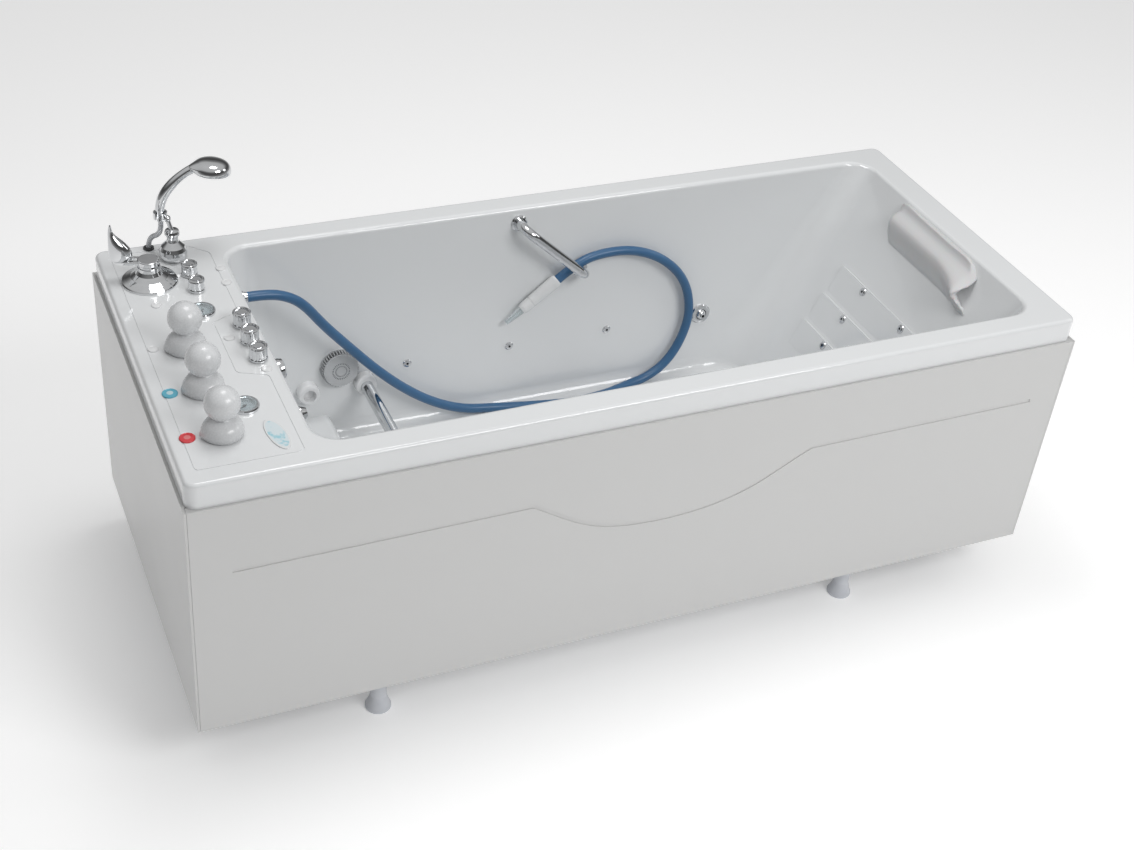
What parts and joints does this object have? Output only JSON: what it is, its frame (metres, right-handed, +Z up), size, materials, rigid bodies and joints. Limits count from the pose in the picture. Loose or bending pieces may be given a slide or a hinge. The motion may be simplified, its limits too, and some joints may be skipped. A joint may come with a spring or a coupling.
{
  "type": "hydrotherapy bathtub",
  "caption": "Rectangular hydrotherapy bathtub with a control deck, lever mixer, hand shower, massage hose, wall and backrest jets, foot bar, headrest and levelling feet.",
  "frame": {"origin": "on the floor, under the middle of the tub's length and width", "axes": "+X along the tub from the control deck (foot end) to the head end, -Y the decorated front, +Z up"},
  "size_m": [2.1, 0.9, 1.0185],
  "materials": {
    "acrylic": "gloss",
    "apron": "satin",
    "frame_steel": "satin",
    "zinc_steel": "satin",
    "foot_plastic": "matte",
    "chrome": "polished",
    "handle_plastic": "satin",
    "white_plastic": "gloss",
    "grey_plastic": "satin",
    "blue_hose": "gloss",
    "shower_tube": "gloss",
    "rubber": "matte",
    "soft_foam": "satin",
    "clear": "gloss",
    "dial": "satin",
    "needle": "satin",
    "blue": "gloss",
    "red": "gloss",
    "badge": "gloss",
    "pump_paint": "satin",
    "pipe_plastic": "satin",
    "brass_body": "satin"
  },
  "bodies": {
    "tub": {"tub_shell": "acrylic", "back_apron": "apron", "foot_apron": "apron", "head_apron": "apron", "apron_clips": "grey_plastic", "base_frame": "frame_steel", "frame_uprights": "frame_steel", "foot_screws": "zinc_steel", "foot_pads": "foot_plastic", "mixer_base": "chrome", "shower_holder": "chrome", "shower_clip": "chrome", "shower_hose_store": "shower_tube", "hose_grommet": "rubber", "deck_valves": "brass_body", "gauge_cases": "chrome", "gauge_dials": "dial", "gauge_glasses": "clear", "white_marks": "white_plastic", "cold_mark": "blue", "hot_mark": "red", "badge_plate": "badge", "suction_grille": "grey_plastic", "side_jets": "chrome", "backrest_jets": "chrome", "main_jet_rings": "chrome", "foot_bar": "chrome", "foot_bar_sockets": "white_plastic", "grab_bar": "chrome", "drain_fitting": "chrome", "foot_wall_fittings": "chrome", "headrest_pad": "soft_foam", "massage_hose": "blue_hose", "hose_outlet": "chrome", "massage_nozzle": "white_plastic", "nozzle_tip": "clear", "pump_housing": "pump_paint", "pump_motor": "pump_paint", "water_pipes": "pipe_plastic", "control_box": "grey_plastic"},
    "front_panel": {"front_apron": "apron"},
    "mixer_turn": {"mixer_turret": "chrome"},
    "mixer_lift": {"mixer_lever": "chrome"},
    "hand_shower": {"shower_handset": "chrome", "spray_plate": "grey_plastic", "shower_hose": "shower_tube"},
    "air_dial_1": {"air_knob_1": "chrome"},
    "air_dial_2": {"air_knob_2": "chrome"},
    "flow_dial_1": {"flow_knob_1": "chrome"},
    "flow_dial_2": {"flow_knob_2": "chrome"},
    "flow_dial_3": {"flow_knob_3": "chrome"},
    "valve_1": {"valve_handle_1": "handle_plastic"},
    "valve_2": {"valve_handle_2": "handle_plastic"},
    "valve_3": {"valve_handle_3": "handle_plastic"},
    "pointer_1": {"gauge_needle_1": "needle"},
    "pointer_2": {"gauge_needle_2": "needle"},
    "nozzle_back": {"jet_eyeball_back": "chrome"},
    "nozzle_front": {"jet_eyeball_front": "chrome"},
    "rotor": {"pump_rotor": "zinc_steel"}
  },
  "joints": [
    {"name": "front_panel_pull", "type": "slide", "parent": "tub", "child": "front_panel", "axis": [0, -1, 0], "range_m": [0, 0.25]},
    {"name": "mixer_turn_joint", "type": "hinge", "parent": "tub", "child": "mixer_turn", "pos_m": [-0.951, 0.287, 0.83], "axis": [0, 0, 1], "range_deg": [-45, 45]},
    {"name": "mixer_lift_joint", "type": "hinge", "parent": "mixer_turn", "child": "mixer_lift", "pos_m": [-0.93474, 0.28203, 0.84], "axis": [0.2924, 0.9563, 0], "range_deg": [0, 22]},
    {"name": "hand_shower_lift", "type": "slide", "parent": "tub", "child": "hand_shower", "axis": [0, 0, 1], "range_m": [0, 0.03]},
    {"name": "air_dial_1_turn", "type": "hinge", "parent": "tub", "child": "air_dial_1", "pos_m": [-0.862, 0.29, 0.8], "axis": [0, 0, -1], "range_deg": [0, 270]},
    {"name": "air_dial_2_turn", "type": "hinge", "parent": "tub", "child": "air_dial_2", "pos_m": [-0.862, 0.223, 0.8], "axis": [0, 0, -1], "range_deg": [0, 270]},
    {"name": "flow_dial_1_turn", "type": "hinge", "parent": "tub", "child": "flow_dial_1", "pos_m": [-0.803, 0.061, 0.8], "axis": [0, 0, -1], "range_deg": [0, 270]},
    {"name": "flow_dial_2_turn", "type": "hinge", "parent": "tub", "child": "flow_dial_2", "pos_m": [-0.803, -0.005, 0.8], "axis": [0, 0, -1], "range_deg": [0, 270]},
    {"name": "flow_dial_3_turn", "type": "hinge", "parent": "tub", "child": "flow_dial_3", "pos_m": [-0.803, -0.072, 0.8], "axis": [0, 0, -1], "range_deg": [0, 270]},
    {"name": "valve_1_turn", "type": "hinge", "parent": "tub", "child": "valve_1", "pos_m": [-0.935, 0.005, 0.8], "axis": [0, 0, -1], "range_deg": [0, 90]},
    {"name": "valve_2_turn", "type": "hinge", "parent": "tub", "child": "valve_2", "pos_m": [-0.935, -0.15, 0.8], "axis": [0, 0, -1], "range_deg": [0, 90]},
    {"name": "valve_3_turn", "type": "hinge", "parent": "tub", "child": "valve_3", "pos_m": [-0.935, -0.305, 0.8], "axis": [0, 0, -1], "range_deg": [0, 90]},
    {"name": "pointer_1_turn", "type": "hinge", "parent": "tub", "child": "pointer_1", "pos_m": [-0.872, 0.135, 0.79], "axis": [0, 0, -1], "range_deg": [0, 270]},
    {"name": "pointer_2_turn", "type": "hinge", "parent": "tub", "child": "pointer_2", "pos_m": [-0.872, -0.226, 0.79], "axis": [0, 0, -1], "range_deg": [0, 270]},
    {"name": "nozzle_back_tilt", "type": "hinge", "parent": "tub", "child": "nozzle_back", "pos_m": [0.51, 0.34649, 0.407], "axis": [0, 0.0872, 0.9962], "range_deg": [-15, 15]},
    {"name": "nozzle_front_tilt", "type": "hinge", "parent": "tub", "child": "nozzle_front", "pos_m": [0.51, -0.34649, 0.407], "axis": [0, -0.0872, 0.9962], "range_deg": [-15, 15]},
    {"name": "rotor_spin", "type": "hinge", "parent": "tub", "child": "rotor", "pos_m": [-0.87, 0, 0.29], "axis": [0, 1, 0], "continuous": true}
  ]
}
